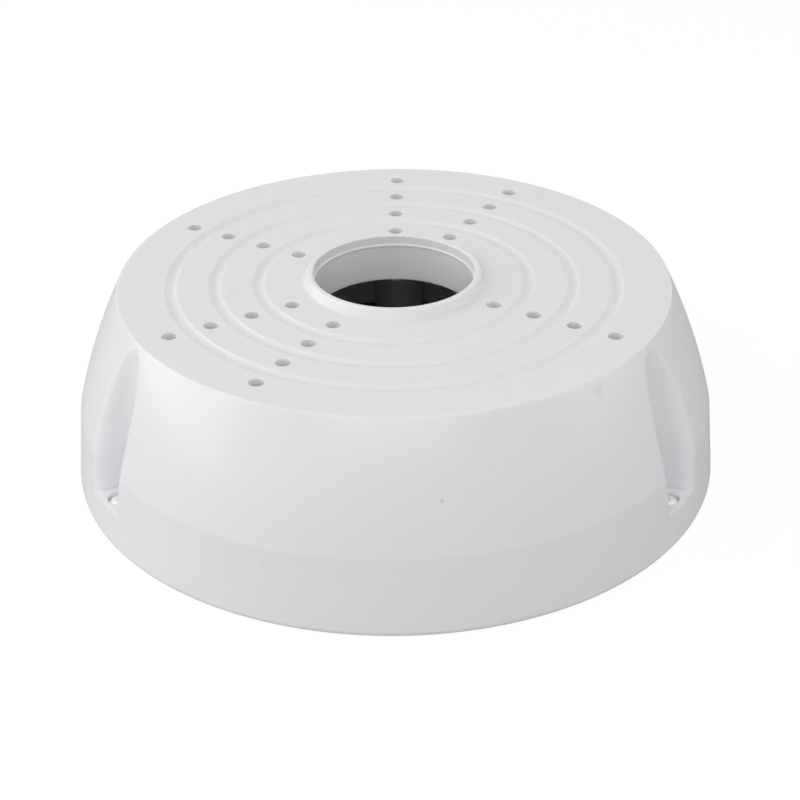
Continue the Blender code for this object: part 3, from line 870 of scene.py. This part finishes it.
@dataclass
class Housing:
    """The white moulding: skirt, camera plate with its holes and grooves, collar and pockets."""

    plate_radius: float = 63.25 * MM
    plate_height: float = 46.5 * MM
    plate_edge: float = 0.25 * MM
    plate_thickness: float = 3.2 * MM
    cone_bulge: float = 0.9 * MM
    belt_radius: float = 73.5 * MM
    belt_height: float = 18.6 * MM
    belt_round: float = 3.0 * MM
    foot_radius: float = 75.1 * MM
    foot_round: float = 1.6 * MM
    skirt_wall: float = 2.6 * MM
    collar_bore: float = 18.5 * MM
    collar_rise: float = 2.2 * MM
    collar_rim: float = 1.35 * MM
    collar_spread: float = 0.6 * MM
    collar_edge: float = 0.5 * MM
    bore_edge: float = 0.3 * MM
    collar_foot_round: float = 1.0 * MM
    collar_foot_sweep: float = 84.0
    tube_bore: float = 18.35 * MM
    tube_outer: float = 20.85 * MM
    tube_bottom: float = 37.3 * MM
    lip_inset: float = 0.35 * MM
    lip_height: float = 0.6 * MM
    lip_edge: float = 0.15 * MM
    hole_lines: tuple[int, ...] = (60, 90, 150, 210, 240, 330)
    hole_rings: tuple[float, ...] = (26 * MM, 36 * MM, 46 * MM, 56 * MM)
    hole_radius: float = 1.7 * MM
    hole_depth: float = 8.5 * MM
    hole_edge: float = 0.08 * MM
    boss_wall: float = 2.0 * MM
    boss_floor: float = 1.5 * MM
    rib_half: float = 1.0 * MM
    rib_depth: float = 7.0 * MM
    groove_half: float = 1.4 * MM
    groove_depth: float = 0.5 * MM
    past: float = 2.0 * MM
    just_past: float = 0.001 * MM
    ledge_lift: float = 0.5 * MM
    column_overlap: float = 0.5 * MM
    pocket: Pocket = field(default_factory=Pocket)
    stack: ScrewStack = field(default_factory=ScrewStack)
    lip_under_steps: int = 2
    lip_over_steps: int = 3
    plain_steps: int = 44
    round_steps: int = 6
    belt_steps: int = 5
    cone_rows: int = 14
    band_rows: int = 6
    lathe_steps: int = 192
    hole_steps: int = 24
    groove_steps: int = 8

    def cone_point(self, height: float) -> Point:
        """(radius, height) on the cone, which bulges a little between belt and plate."""
        share = (height - self.belt_height) / (self.plate_height - self.belt_height)
        taper = (self.belt_radius - self.plate_radius) * share
        return self.belt_radius - taper + 4 * self.cone_bulge * share * (1 - share), height

    def rows(self) -> tuple[list[Point], list[Point]]:
        """(radius, height) rows up the outside.

        Returns:
            The rows from the foot to the ledge, and those from the ledge to the plate.
        """
        foot = (self.foot_radius, 0.0)
        belt = self.cone_point(self.belt_height)
        above_belt = self.cone_point(self.belt_height + self.belt_round)
        edge = self.cone_point(self.plate_height)
        below_edge = self.cone_point(self.plate_height - self.plate_edge)
        foot_arc = rounded((0.0, 0.0), foot, belt, self.foot_round, self.round_steps)
        belt_arc = rounded(foot, belt, above_belt, self.belt_round, self.belt_steps)
        edge_arc = rounded(below_edge, edge, (0.0, self.plate_height), self.plate_edge, self.round_steps)
        low, high = Vector(foot_arc[-1]), Vector(belt_arc[0])
        share = (self.pocket.ledge_height - low.y) / (high.y - low.y)
        ledge = low.lerp(high, share)
        upper = [tuple(ledge.lerp(high, row / self.band_rows)) for row in range(self.band_rows)]
        upper += belt_arc
        start, end = belt_arc[-1][1], edge_arc[0][1]
        for row in range(1, self.cone_rows):
            share = 1 - (1 - row / self.cone_rows) ** 2
            upper.append(self.cone_point(start + (end - start) * share))
        return foot_arc + [tuple(ledge)], upper + edge_arc

    def outline(self, radius: float, height: float, is_open: bool) -> list[Vector]:
        """The housing's outline at one height.

        Args:
            radius: Its outer radius there.
            height: The height.
            is_open: Whether the pockets show in it.

        Returns:
            The points round it, always as many.
        """
        points = []
        angles = self.pocket.angles
        for index, middle in enumerate(angles):
            half = self.pocket.half_path(radius, height)
            width = math.atan2(half[0][1], half[0][0])
            if not is_open:
                half = self.pocket.plain_half(radius, width)
            path = [(x, -y) for x, y in half] + list(reversed(half[:-1]))
            points += [Vector((x, y, height)) for x, y in turned(path, middle)]
            leave = math.degrees(width)
            following = angles[(index + 1) % len(angles)] + (360 if index == len(angles) - 1 else 0)
            start, end = middle + leave, following - leave
            for step in range(1, self.plain_steps):
                points.append(polar(radius, start + (end - start) * step / self.plain_steps, height))
        return points

    def outer_body(self) -> bpy.types.Object:
        """The solid outside with its three pockets, as rings bridged one above another."""
        lower, upper = self.rows()
        outlines = [self.outline(radius, height, is_open=False) for radius, height in lower]
        outlines += [self.outline(radius, height, is_open=True) for radius, height in upper]
        count = len(outlines[0])
        piece = new_ring("housing_shell", count)
        with editing(piece):
            place_vertices(piece, 0, outlines[0])
            for row, outline in enumerate(outlines[1:], start=1):
                bpy.ops.mesh.select_all(action="DESELECT")
                bpy.ops.mesh.primitive_circle_add(vertices=count, radius=1.0, location=(0, 0, 0))
                lift = Vector((0, 0, self.ledge_lift if row == len(lower) else 0.0))
                place_vertices(piece, row * count, [point + lift for point in outline])
                select_vertices(piece, range((row - 1) * count, (row + 1) * count))
                bpy.ops.mesh.bridge_edge_loops()
            place_vertices(piece, len(lower) * count, outlines[len(lower)])
            for row in (0, len(outlines) - 1):
                select_vertices(piece, range(row * count, (row + 1) * count))
                bpy.ops.mesh.edge_face_add()
            close_and_orient()
        return piece

    def cavity(self) -> bpy.types.Object:
        """The hollow, less the columns, ribs and bosses that are left standing in it."""
        underside = self.plate_height - self.plate_thickness
        foot = self.foot_radius - self.skirt_wall
        profile = [(0.0, -self.past), (foot, -self.past), (foot, 0.0)]
        for height in (self.belt_height, (self.belt_height + underside) / 2, underside):
            profile.append((self.cone_point(height)[0] - self.skirt_wall, height))
        profile.append((0.0, underside))
        hollow = lathe("cavity", profile, self.lathe_steps)
        middle = self.plate_height - self.plate_thickness / 2
        low = self.stack.relief_top - self.column_overlap
        columns = self.pocket.column(low, middle, self.foot_radius + self.past)
        boolean(hollow, columns, Join.CUT)
        boolean(hollow, self.ribs(underside - self.rib_depth, middle), Join.CUT)
        boss = self.hole_radius + self.boss_wall
        bottom = self.plate_height - self.hole_depth - self.boss_floor
        profile = [(0.0, bottom), (boss, bottom), (boss, middle), (0.0, middle)]
        bosses = copies(lathe("boss", profile, self.hole_steps), self.hole_places())
        boolean(hollow, joined("bosses", bosses), Join.CUT)
        return hollow

    def ribs(self, bottom: float, top: float) -> bpy.types.Object:
        """One rib under each line of holes.

        Args:
            bottom: Height of the ribs' lower edge.
            top: A height inside the plate.

        Returns:
            The ribs in one object.
        """
        inner = (self.tube_bore + self.tube_outer) / 2
        outline = [
            (inner, -self.rib_half),
            (self.belt_radius, -self.rib_half),
            (self.belt_radius, self.rib_half),
            (inner, self.rib_half),
        ]
        ribs = [upright("rib", turned(outline, line), bottom, top) for line in self.hole_lines]
        return joined("ribs", ribs)

    def hole_places(self) -> list[Matrix]:
        """Where the pilot holes stand."""
        return [Matrix.Translation(polar(ring, line)) for line in self.hole_lines for ring in self.hole_rings]

    def tube_and_collar(self) -> bpy.types.Object:
        """The tube under the plate and the collar on it, before the bore."""
        rim = self.collar_bore + self.collar_rim
        foot = rim + self.collar_spread
        top = self.plate_height + self.collar_rise
        lean = math.atan2(self.collar_spread, self.collar_rise)
        beside = self.collar_foot_round * math.tan((math.pi / 2 - lean) / 2)
        centre = Vector((foot + beside, self.plate_height + self.collar_foot_round))
        foot_arc = []
        for step in range(self.round_steps + 1):
            share = step / self.round_steps
            sweep = math.pi + math.radians(self.collar_foot_sweep) * (1 - share) + lean * share
            spoke = Vector((math.cos(sweep), math.sin(sweep)))
            foot_arc.append(tuple(centre + self.collar_foot_round * spoke))
        sunk = self.plate_height - self.plate_thickness / 2
        profile = [(0.0, self.tube_bottom), (self.tube_outer, self.tube_bottom)]
        profile += [(self.tube_outer, sunk), (foot_arc[0][0], sunk)] + foot_arc
        side = (foot, self.plate_height)
        profile += rounded(side, (rim, top), (0.0, top), self.collar_edge, self.round_steps)
        profile.append((0.0, top))
        return lathe("collar", profile, self.lathe_steps)

    def bore(self) -> bpy.types.Object:
        """The cable hole through collar and tube, with the small lip level with the plate."""
        lip = self.collar_bore - self.lip_inset
        lip_bottom = self.plate_height - self.lip_height
        top = self.plate_height + self.collar_rise
        below, above = self.tube_bottom - self.past, top + self.past
        outside = self.collar_bore + self.past
        tube_end = (self.tube_bore, lip_bottom)
        lip_low = (lip, lip_bottom)
        lip_high = (lip, self.plate_height)
        collar_low = (self.collar_bore, self.plate_height)
        collar_high = (self.collar_bore, top)
        flare = (outside, top + self.just_past)
        profile = [(0.0, below), (self.tube_bore, below), tube_end]
        profile += rounded(tube_end, lip_low, lip_high, self.lip_edge, self.lip_under_steps)
        profile += rounded(lip_low, lip_high, collar_low, self.lip_edge, self.lip_over_steps)
        profile.append(collar_low)
        profile += rounded(collar_low, collar_high, flare, self.bore_edge, self.round_steps)
        profile += [(outside, above), (0.0, above)]
        return lathe("bore", profile, self.lathe_steps)

    def grooves(self) -> bpy.types.Object:
        """Cutters of the round grooves midway between the rings of holes."""
        radius = (self.groove_half**2 + self.groove_depth**2) / (2 * self.groove_depth)
        reach = math.asin(self.groove_half / radius)
        cutters = []
        for inner, outer in zip(self.hole_rings, self.hole_rings[1:]):
            middle = (inner + outer) / 2
            profile = []
            for step in range(self.groove_steps + 1):
                angle = -reach + 2 * reach * step / self.groove_steps
                sink = radius * math.cos(angle) - (radius - self.groove_depth)
                profile.append((middle + radius * math.sin(angle), self.plate_height - sink))
            above = self.plate_height + self.past
            profile += [(middle + self.groove_half, above), (middle - self.groove_half, above)]
            cutters.append(lathe("groove", profile, self.lathe_steps, ring=True))
        return joined("grooves", cutters)

    def pilots(self) -> bpy.types.Object:
        """Cutters of the blind pilot holes, each with a slight bevel at its mouth."""
        bottom = self.plate_height - self.hole_depth
        mouth = self.hole_radius + self.hole_edge
        profile = [
            (0.0, bottom),
            (self.hole_radius, bottom),
            (self.hole_radius, self.plate_height - self.hole_edge),
            (mouth, self.plate_height),
            (mouth, self.plate_height + self.past),
            (0.0, self.plate_height + self.past),
        ]
        return joined("pilots", copies(lathe("pilot", profile, self.hole_steps), self.hole_places()))

    def screw_holes(self) -> bpy.types.Object:
        """Cutters of the stepped screw holes: head seat, clearance hole and post relief."""
        stack = self.stack
        profile = [
            (0.0, -self.past),
            (stack.relief_radius, -self.past),
            (stack.relief_radius, stack.relief_top),
            (stack.clearance_radius, stack.relief_top),
            (stack.clearance_radius, stack.seat_floor),
            (stack.seat_radius, stack.seat_floor),
            (stack.seat_radius, self.pocket.ledge_height + self.past),
            (0.0, self.pocket.ledge_height + self.past),
        ]
        hole = lathe("screw_hole", profile, self.hole_steps * 2)
        return joined("screw_holes", copies(hole, self.pocket.places(0.0)))

    def build(self, look: bpy.types.Material) -> None:
        """Builds the moulding and dresses it.

        Args:
            look: The white plastic.
        """
        shell = self.outer_body()
        boolean(shell, self.cavity(), Join.CUT)
        boolean(shell, self.tube_and_collar(), Join.ADD)
        for tool in (self.bore(), self.grooves(), self.pilots(), self.screw_holes()):
            boolean(shell, tool, Join.CUT)
        smooth(shell)
        finish_piece(shell, look, "white_plastic", "housing")


@dataclass
class WallPlate:
    """The black plate on the wall with its rim, posts, slots, cable hole and gasket recess."""

    radius: float = 71.86 * MM
    floor: float = 2.5 * MM
    rim_height: float = 4.0 * MM
    rim_wall: float = 2.2 * MM
    edge: float = 0.3 * MM
    cable_hole: float = 18.0 * MM
    recess_inner: float = 55.96 * MM
    recess_outer: float = 65.56 * MM
    recess_depth: float = 1.2 * MM
    slot_angles: tuple[int, ...] = (0, 90, 180, 270)
    slot_ring: float = 44.0 * MM
    slot_width: float = 5.0 * MM
    slot_length: float = 11.0 * MM
    slot_steps: int = 12
    past: float = 2.0 * MM
    arc_steps: int = 3
    lathe_steps: int = 160
    post_steps: int = 40
    pocket: Pocket = field(default_factory=Pocket)
    stack: ScrewStack = field(default_factory=ScrewStack)

    def build(self, look: bpy.types.Material) -> None:
        """Builds the plate and dresses it.

        Args:
            look: The black plastic.
        """
        inner = self.radius - self.rim_wall
        corners = (
            (self.cable_hole, 0.0, 0.0),
            (self.recess_inner, 0.0, 0.0),
            (self.recess_inner, self.recess_depth, 0.0),
            (self.recess_outer, self.recess_depth, 0.0),
            (self.recess_outer, 0.0, 0.0),
            (self.radius, 0.0, self.edge),
            (self.radius, self.rim_height, self.edge),
            (inner, self.rim_height, self.edge),
            (inner, self.floor, 0.0),
            (self.cable_hole, self.floor, 0.0),
        )
        profile = rounded_profile(corners, self.arc_steps)
        plate = lathe("wall_plate", profile, self.lathe_steps, ring=True)
        stack = self.stack
        places = self.pocket.places(0.0)
        posts = copies(self.pin(stack.post_radius, stack.post_foot, stack.post_top), places)
        boolean(plate, joined("posts", posts), Join.ADD)
        top = stack.post_top + self.past
        holes = copies(self.pin(stack.insert_hole, stack.insert_floor, top), places)
        outline = obround(self.slot_length, self.slot_width, self.slot_ring, self.slot_steps)
        for angle in self.slot_angles:
            holes.append(upright("slot", turned(outline, angle), -self.past, self.floor + self.past))
        boolean(plate, joined("holes", holes), Join.CUT)
        smooth(plate)
        finish_piece(plate, look, "black_plastic", "base_plate")

    def pin(self, radius: float, bottom: float, top: float) -> bpy.types.Object:
        """A plain upright cylinder on the Z axis."""
        return lathe("pin", [(0.0, bottom), (radius, bottom), (radius, top), (0.0, top)], self.post_steps)


@dataclass
class WallGasket:
    """The foam ring in the back of the wall plate."""

    inner: float = 56.26 * MM
    outer: float = 65.26 * MM
    thickness: float = 0.9 * MM
    edge: float = 0.25 * MM
    arc_steps: int = 3
    lathe_steps: int = 160

    def build(self, look: bpy.types.Material) -> None:
        """Builds the ring and dresses it in foam."""
        corners = flat_ring(self.inner, self.outer, self.thickness, self.edge)
        ring = turned_ring("foam_gasket", corners, self.arc_steps, self.lathe_steps)
        finish_piece(ring, look, "grey_foam", "wall_gasket")


@dataclass
class Grommet:
    """The rubber ring round the cable hole of the wall plate."""

    neck: float = 17.9 * MM
    bore: float = 14.9 * MM
    flange: float = 20.5 * MM
    under: float = 2.6 * MM
    top: float = 4.0 * MM
    edge: float = 0.35 * MM
    arc_steps: int = 4
    lathe_steps: int = 128

    def build(self, look: bpy.types.Material) -> None:
        """Builds the ring and dresses it in rubber."""
        corners = (
            (self.bore, 0.0, self.edge),
            (self.neck, 0.0, self.edge / 2),
            (self.neck, self.under, 0.0),
            (self.flange, self.under, self.edge),
            (self.flange, self.top, self.edge),
            (self.bore, self.top, self.edge),
        )
        ring = turned_ring("grommet", corners, self.arc_steps, self.lathe_steps)
        finish_piece(ring, look, "black_rubber", "cable_grommet")


@dataclass
class CoverScrews:
    """The three pan-head screws with cross recess and thread, their washers and inserts."""

    stack: ScrewStack = field(default_factory=ScrewStack)
    pocket: Pocket = field(default_factory=Pocket)
    recess_length: float = 3.0 * MM
    recess_width: float = 0.7 * MM
    recess_depth: float = 0.8 * MM
    recess_taper: float = 0.45
    rim_edge: float = 0.15 * MM
    tip_share: float = 0.6
    tip_length: float = 0.4 * MM
    thread_pitch: float = 0.5 * MM
    thread_depth: float = 0.26 * MM
    thread_sink: float = 0.05 * MM
    thread_share: float = 0.42
    thread_start: float = 0.5 * MM
    plain_length: float = 1.4 * MM
    washer_gap: float = 0.1 * MM
    washer_edge: float = 0.12 * MM
    knurl_depth: float = 0.08 * MM
    insert_chamfer: float = 0.2 * MM
    past: float = 1.0 * MM
    knurls: int = 28
    head_steps: int = 48
    dome_steps: int = 8
    arc_steps: int = 3
    thread_steps: int = 24
    screw_angle: float = 40.0
    insert_angle: float = 25.0

    @property
    def core(self) -> float:
        """Radius of the screw inside its thread."""
        return self.stack.shank_radius - self.thread_depth

    @property
    def length(self) -> float:
        """Length of the screw below its head."""
        return self.stack.head_bottom - self.stack.shank_bottom

    def head_and_core(self) -> bpy.types.Object:
        """The screw's head and core, with the head's underside at height zero."""
        stack = self.stack
        tip = [(0.0, -self.length), (self.core * self.tip_share, -self.length)]
        profile = tip + [(self.core, -self.length + self.tip_length), (self.core, 0.0)]
        rim, above_rim = (stack.head_radius, 0.0), (stack.head_radius, stack.head_edge)
        profile += rounded((self.core, 0.0), rim, above_rim, self.rim_edge, self.arc_steps)
        rise = stack.head_height - stack.head_edge
        for step in range(self.dome_steps):
            angle = math.pi / 2 * step / self.dome_steps
            radius = stack.head_radius * math.cos(angle)
            profile.append((radius, stack.head_edge + rise * math.sin(angle)))
        profile.append((0.0, stack.head_height))
        return lathe("cover_screw", profile, self.head_steps)

    def recess(self) -> bpy.types.Object:
        """The tapered cross that cuts the head."""
        top = self.stack.head_height
        bottom = top - self.recess_depth
        bar_size = (self.recess_length, self.recess_width)
        bars = []
        for size_x, size_y in (bar_size, bar_size[::-1]):
            half_x, half_y = size_x / 2, size_y / 2
            outline = [(-half_x, -half_y), (half_x, -half_y), (half_x, half_y), (-half_x, half_y)]
            bar = upright("bar", outline, bottom, top + self.past)
            with editing(bar):
                mesh = bmesh.from_edit_mesh(bar.data)
                low = [vert.index for vert in mesh.verts if vert.co.z < bottom + TINY]
                select_vertices(bar, low)
                bpy.ops.transform.resize(value=(self.recess_taper, self.recess_taper, 1.0))
            bars.append(bar)
        return joined("recess", bars)

    def thread(self) -> bpy.types.Object:
        """The helical ridge on the core, its profile swept by a Screw modifier."""
        sunk = self.core - self.thread_sink
        half = self.thread_pitch * self.thread_share
        start = -self.length + self.thread_start
        profile = [(sunk, start - half), (self.stack.shank_radius, start), (sunk, start + half)]
        ridge = new_ring("thread", len(profile))
        with editing(ridge):
            place_vertices(ridge, 0, [Vector((radius, 0, height)) for radius, height in profile])
        modifier = ridge.modifiers.new("turns", "SCREW")
        modifier.axis = "Z"
        modifier.angle = math.tau
        modifier.screw_offset = self.thread_pitch
        modifier.iterations = int((self.length - self.plain_length) / self.thread_pitch)
        modifier.steps = self.thread_steps
        modifier.render_steps = self.thread_steps
        pick(ridge)
        bpy.ops.object.modifier_apply(modifier=modifier.name)
        with editing(ridge):
            bpy.ops.mesh.select_non_manifold(extend=False, use_wire=False, use_multi_face=False)
            bpy.ops.mesh.fill_holes(sides=len(profile))
            close_and_orient()
        return ridge

    def set_out(
        self,
        piece: bpy.types.Object,
        height: float,
        name: str,
        look: bpy.types.Material,
        slot: str,
        node: str,
    ) -> None:
        """Copies a piece into the three pockets and dresses the copies.

        Args:
            piece: The piece, with its foot at height zero.
            height: Where its foot stands.
            name: Name of the copies, before their number.
            look: Their material.
            slot: The record's material slot.
            node: Name of the CAD nodes that they stand for, before its number.
        """
        for number, copy in enumerate(copies(piece, self.pocket.places(height)), start=1):
            copy.name = f"{name}_{number}"
            finish_piece(copy, look, slot, f"{node}_{number}")

    def build_screws(self, look: bpy.types.Material) -> None:
        """Builds the screws and dresses them in steel."""
        screw = self.head_and_core()
        boolean(screw, self.recess(), Join.CUT, meeting=True)
        boolean(screw, self.thread(), Join.ADD)
        smooth(screw, self.screw_angle)
        self.set_out(screw, self.stack.head_bottom, "steel_screw", look, "steel", "cover_screw")

    def build_washers(self, look: bpy.types.Material) -> None:
        """Builds the sealing washers and dresses them in rubber."""
        stack = self.stack
        inner = stack.shank_radius + self.washer_gap
        corners = flat_ring(inner, stack.head_radius, stack.washer_thickness, self.washer_edge)
        washer = turned_ring("washer", corners, self.arc_steps, self.head_steps)
        self.set_out(washer, stack.washer_bottom, "rubber_washer", look, "black_rubber", "screw_washer")

    def build_inserts(self, look: bpy.types.Material) -> None:
        """Builds the knurled inserts and dresses them in brass."""
        stack = self.stack
        outline = []
        for step in range(2 * self.knurls):
            radius = stack.insert_radius - (self.knurl_depth if step % 2 else 0.0)
            outline.append(tuple(polar(radius, 180 * step / self.knurls).xy))
        height = stack.insert_top - stack.insert_bottom
        insert = upright("insert", outline, 0.0, height)
        inner = stack.clearance_radius
        mouth = inner + self.insert_chamfer
        profile = [
            (0.0, -self.past),
            (inner, -self.past),
            (inner, height - self.insert_chamfer),
            (mouth, height),
            (mouth, height + self.past),
            (0.0, height + self.past),
        ]
        boolean(insert, lathe("insert_bore", profile, self.head_steps), Join.CUT)
        smooth(insert, self.insert_angle)
        self.set_out(insert, stack.insert_bottom, "brass_insert", look, "brass", "base_insert")


@dataclass(frozen=True)
class Softbox:
    """A rectangular lamp that looks at the box from a direction in degrees, from +X and from the horizon.

    Its radiance is its brightness as seen, where 1 is white.
    """

    name: str
    azimuth: float
    elevation: float
    radiance: float
    size: Point = (0.8, 0.8)
    distance: float = 0.9
    aim_height: float = 25 * MM

    def add(self) -> None:
        """Adds the lamp to the scene."""
        width, height = self.size
        data = bpy.data.lights.new(self.name, "AREA")
        data.shape = "RECTANGLE"
        data.size = width
        data.size_y = height
        data.energy = self.radiance * math.pi * width * height
        lamp = bpy.data.objects.new(self.name, data)
        bpy.context.scene.collection.objects.link(lamp)
        rise = math.radians(self.elevation)
        away = polar(self.distance * math.cos(rise), self.azimuth, self.distance * math.sin(rise))
        lamp.location = Vector((0, 0, self.aim_height)) + away
        lamp.rotation_euler = (-away).to_track_quat("-Z", "Y").to_euler()


SOFTBOXES = (
    Softbox("left_softbox", azimuth=180, elevation=27, radiance=1.45, size=(1.1, 0.9)),
    Softbox("front_softbox", azimuth=270, elevation=40, radiance=1.17),
    Softbox("right_softbox", azimuth=0, elevation=30, radiance=0.75),
)


@dataclass
class Studio:
    """The camera of the photograph, plain soft light and a pale floor."""

    lens: float = 90.66
    sensor: float = 36.0
    eye: tuple[float, float, float] = (7.916 * MM, -414.392 * MM, 251.734 * MM)
    right: tuple[float, float, float] = (0.99989912, 0.01215381, -0.00735106)
    up: tuple[float, float, float] = (0.00034001, 0.49690606, 0.86780427)
    forward: tuple[float, float, float] = (-0.01419991, 0.86771923, -0.49685179)
    nearest: float = 10 * MM
    ambient: float = 0.4
    floor_colour: float = 0.65
    floor_size: float = 6.0
    floor_glow: float = 0.9
    floor_shade: float = 0.14

    def camera(self) -> None:
        """Adds the camera at the place and angle of the photograph."""
        data = bpy.data.cameras.new("camera")
        data.lens = self.lens
        data.sensor_width = self.sensor
        data.sensor_fit = "HORIZONTAL"
        data.clip_start = self.nearest
        eye = bpy.data.objects.new("camera", data)
        bpy.context.scene.collection.objects.link(eye)
        axes = Matrix((self.right, self.up, [-value for value in self.forward])).transposed()
        eye.matrix_world = Matrix.Translation(self.eye) @ axes.to_4x4()
        bpy.context.scene.camera = eye

    def world(self) -> None:
        """White surroundings, dimmer for the light that they give."""
        world = bpy.data.worlds.new("studio")
        bpy.context.scene.world = world
        world.use_nodes = True
        graph = NodeGraph(world.node_tree)
        back = world.node_tree.nodes["Background"]
        back.inputs["Color"].default_value = WHITE
        back.inputs["Strength"].default_value = self.ambient
        seen = graph.add("ShaderNodeBackground", Color=WHITE, Strength=1.0)
        path = graph.add("ShaderNodeLightPath").outputs
        glossy = graph.math("MAXIMUM", path["Is Glossy Ray"], path["Is Transmission Ray"])
        share = graph.math("MAXIMUM", path["Is Camera Ray"], glossy)
        light = graph.mix(share, back.outputs[0], seen.outputs[0])
        graph.link(light, world.node_tree.nodes["World Output"].inputs["Surface"])

    def floor(self) -> None:
        """A wide white floor that keeps a faint shadow."""
        bpy.ops.object.select_all(action="DESELECT")
        bpy.ops.mesh.primitive_plane_add(size=self.floor_size, location=(0, 0, 0))
        floor = bpy.context.object
        floor.name = "floor"
        look = bpy.data.materials.new("floor")
        look.use_nodes = True
        graph = NodeGraph(look.node_tree)
        look.node_tree.nodes.remove(look.node_tree.nodes["Principled BSDF"])
        tone = (self.floor_colour,) * 3 + (1.0,)
        shade = (self.floor_shade,) * 3 + (1.0,)
        plain = graph.add("ShaderNodeBsdfDiffuse", Color=tone)
        faint = graph.add("ShaderNodeBsdfDiffuse", Color=shade)
        glow = graph.add("ShaderNodeEmission", Color=WHITE, Strength=self.floor_glow)
        seen = graph.add("ShaderNodeAddShader")
        graph.link(faint.outputs[0], seen.inputs[0])
        graph.link(glow.outputs[0], seen.inputs[1])
        path = graph.add("ShaderNodeLightPath").outputs
        surface = graph.mix(path["Is Camera Ray"], plain.outputs[0], seen.outputs[0])
        graph.link(surface, look.node_tree.nodes["Material Output"].inputs["Surface"])
        floor.data.materials.append(look)

    def build(self) -> None:
        """Adds camera, lamps, world and floor."""
        self.camera()
        self.world()
        self.floor()
        for softbox in SOFTBOXES:
            softbox.add()
        bpy.context.scene.view_settings.view_transform = "Standard"


def main() -> None:
    """Builds every piece, then the studio."""
    logging.basicConfig(level=logging.INFO, format="%(message)s")
    effects = Effects(grain_group(), speck_group())
    Housing().build(WHITE_PLASTIC.material(effects))
    WallPlate().build(BLACK_PLASTIC.material(effects))
    WallGasket().build(GREY_FOAM.material(effects))
    rubber = BLACK_RUBBER.material(effects)
    Grommet().build(rubber)
    screws = CoverScrews()
    screws.build_screws(STEEL.material(effects))
    screws.build_washers(rubber)
    screws.build_inserts(BRASS.material(effects))
    Studio().build()


if __name__ == "__main__":
    main()
